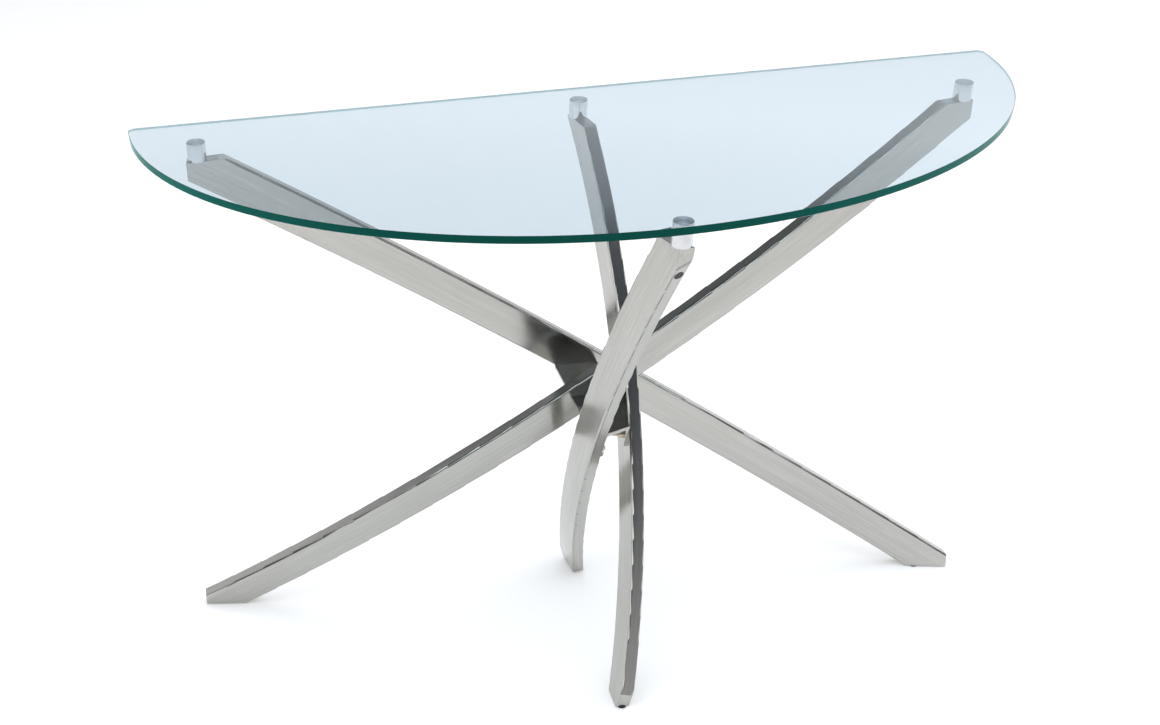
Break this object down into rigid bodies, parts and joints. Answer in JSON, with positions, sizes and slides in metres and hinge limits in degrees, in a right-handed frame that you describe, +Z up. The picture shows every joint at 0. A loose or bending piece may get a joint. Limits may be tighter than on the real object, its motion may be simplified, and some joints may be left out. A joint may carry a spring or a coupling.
{
  "type": "console table",
  "caption": "Half-oval glass console table on bent rectangular metal tubes that cross at a bolted hub, with round metal standoffs under the glass.",
  "frame": {"origin": "on the floor, below the middle of the bounding box of the half-oval top", "axes": "+X along the straight back edge, +Y towards the wall behind the table, +Z up"},
  "size_m": [1.2198, 0.46, 0.775],
  "materials": {
    "glass": "clear, polished edge",
    "brushed": "brushed along the length",
    "turned_metal": "turned and polished",
    "zinc": "yellow zinc plated",
    "black_plastic": "matte",
    "pad": "matte"
  },
  "bodies": {
    "root": {"glass_top": "glass", "standoff_left": "turned_metal", "standoff_right": "turned_metal", "standoff_back": "turned_metal", "standoff_front": "turned_metal", "standoff_screws": "zinc", "standoff_washers": "zinc", "strut_left": "brushed", "strut_right": "brushed", "strut_back": "brushed", "strut_front": "brushed", "top_plate_left": "brushed", "top_plate_right": "brushed", "top_plate_back": "brushed", "top_plate_front": "brushed", "top_end_left": "brushed", "top_end_right": "brushed", "top_end_back": "brushed", "top_end_front": "brushed", "foot_plate_left": "brushed", "foot_plate_right": "brushed", "foot_plate_back": "brushed", "foot_plate_front": "brushed", "foot_end_left": "brushed", "foot_end_right": "brushed", "foot_end_back": "brushed", "foot_end_front": "brushed", "hole_plugs": "black_plastic", "hub_plate": "brushed", "hub_channel": "brushed", "hub_bolts": "zinc", "hub_washers": "zinc", "rivet_nuts": "zinc", "floor_pads": "pad"}
  },
  "joints": []
}
